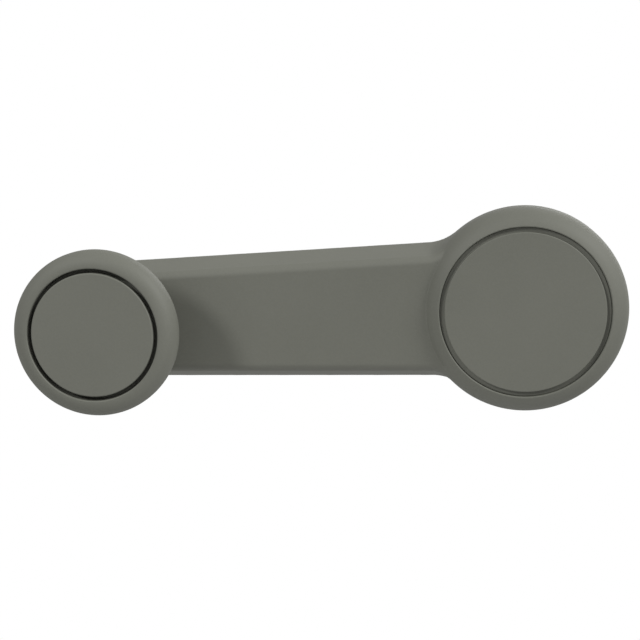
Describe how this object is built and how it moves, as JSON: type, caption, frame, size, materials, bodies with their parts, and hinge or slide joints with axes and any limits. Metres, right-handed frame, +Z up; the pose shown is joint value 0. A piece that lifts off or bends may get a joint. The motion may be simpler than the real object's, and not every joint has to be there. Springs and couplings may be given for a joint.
{
  "type": "window crank handle",
  "caption": "Moulded car window crank: round hub with a pull-off cap, tapered arm and a free-turning round knob on a steel spindle.",
  "frame": {"origin": "on the axis of the shaft socket, at the inner end of its serrated stretch, which lies in the plane of the door trim and of the crank's rear rim", "axes": "-Y is the front, away from the door; +Y points out of the socket towards the regulator; the arm runs along -X; +Z is up on the door"},
  "size_m": [0.147, 0.035, 0.05],
  "materials": {
    "moulded_grey": "olive-grey moulded plastic with a fine grain",
    "zinc_steel": "turned steel, bright zinc plated",
    "nylon": "natural nylon"
  },
  "bodies": {
    "crank": {"crank_body": "moulded_grey", "shaft_insert": "zinc_steel", "plain_washer": "zinc_steel", "lock_washer": "zinc_steel", "retaining_screw": "zinc_steel", "knob_spindle": "zinc_steel", "tail_washer": "zinc_steel", "thrust_washer": "nylon", "wave_washer": "zinc_steel"},
    "knob": {"knob_body": "moulded_grey", "knob_bush": "nylon", "knob_cap": "moulded_grey"},
    "cap": {"hub_cap": "moulded_grey"}
  },
  "joints": [
    {"name": "knob_spin", "type": "hinge", "parent": "crank", "child": "knob", "pos_m": [-0.102, -0.0195, 0], "axis": [0, -1, 0], "continuous": true},
    {"name": "hub_cap_pull", "type": "slide", "parent": "crank", "child": "cap", "axis": [0, -1, 0], "range_m": [0, 0.03]}
  ]
}
